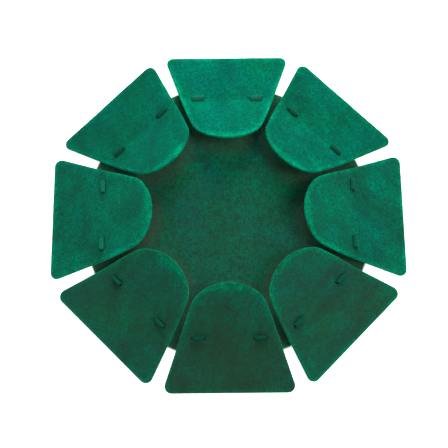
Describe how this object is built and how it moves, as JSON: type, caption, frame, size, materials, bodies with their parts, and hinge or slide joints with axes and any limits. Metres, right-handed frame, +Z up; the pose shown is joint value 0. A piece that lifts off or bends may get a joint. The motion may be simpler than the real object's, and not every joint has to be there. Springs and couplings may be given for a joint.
{
  "type": "practice putting cup",
  "caption": "Flat, all-direction practice putting cup: a round flocked base plate ringed by hinged petals whose raised tongues tip down under a ball and hold it in the well.",
  "frame": {"origin": "on the floor, under the centre of the base plate", "axes": "+Z up, square to the base plate; +X to the petal on the right and +Y to the rear petal"},
  "size_m": [0.18, 0.18, 0.0165],
  "materials": {
    "base_flock": "dark green flock on sheet steel, painted underneath",
    "petal_flock": "green flock on sheet steel, painted underneath"
  },
  "bodies": {
    "base": {"base_plate": "base_flock"},
    "petal_right": {"petal_right": "petal_flock"},
    "petal_rear_right": {"petal_rear_right": "petal_flock"},
    "petal_rear": {"petal_rear": "petal_flock"},
    "petal_rear_left": {"petal_rear_left": "petal_flock"},
    "petal_left": {"petal_left": "petal_flock"},
    "petal_front_left": {"petal_front_left": "petal_flock"},
    "petal_front": {"petal_front": "petal_flock"},
    "petal_front_right": {"petal_front_right": "petal_flock"}
  },
  "joints": [
    {"name": "petal_right_rock", "type": "hinge", "parent": "base", "child": "petal_right", "pos_m": [0.0634, 0, 0.00495], "axis": [0, -1, 0], "range_deg": [0, 28.5]},
    {"name": "petal_rear_right_rock", "type": "hinge", "parent": "base", "child": "petal_rear_right", "pos_m": [0.04483, 0.04483, 0.00495], "axis": [0.7071, -0.7071, 0], "range_deg": [0, 28.5]},
    {"name": "petal_rear_rock", "type": "hinge", "parent": "base", "child": "petal_rear", "pos_m": [0, 0.0634, 0.00495], "axis": [1, 0, 0], "range_deg": [0, 28.5]},
    {"name": "petal_rear_left_rock", "type": "hinge", "parent": "base", "child": "petal_rear_left", "pos_m": [-0.04483, 0.04483, 0.00495], "axis": [0.7071, 0.7071, 0], "range_deg": [0, 28.5]},
    {"name": "petal_left_rock", "type": "hinge", "parent": "base", "child": "petal_left", "pos_m": [-0.0634, 0, 0.00495], "axis": [0, 1, 0], "range_deg": [0, 28.5]},
    {"name": "petal_front_left_rock", "type": "hinge", "parent": "base", "child": "petal_front_left", "pos_m": [-0.04483, -0.04483, 0.00495], "axis": [-0.7071, 0.7071, 0], "range_deg": [0, 28.5]},
    {"name": "petal_front_rock", "type": "hinge", "parent": "base", "child": "petal_front", "pos_m": [0, -0.0634, 0.00495], "axis": [-1, 0, 0], "range_deg": [0, 28.5]},
    {"name": "petal_front_right_rock", "type": "hinge", "parent": "base", "child": "petal_front_right", "pos_m": [0.04483, -0.04483, 0.00495], "axis": [-0.7071, -0.7071, 0], "range_deg": [0, 28.5]}
  ]
}
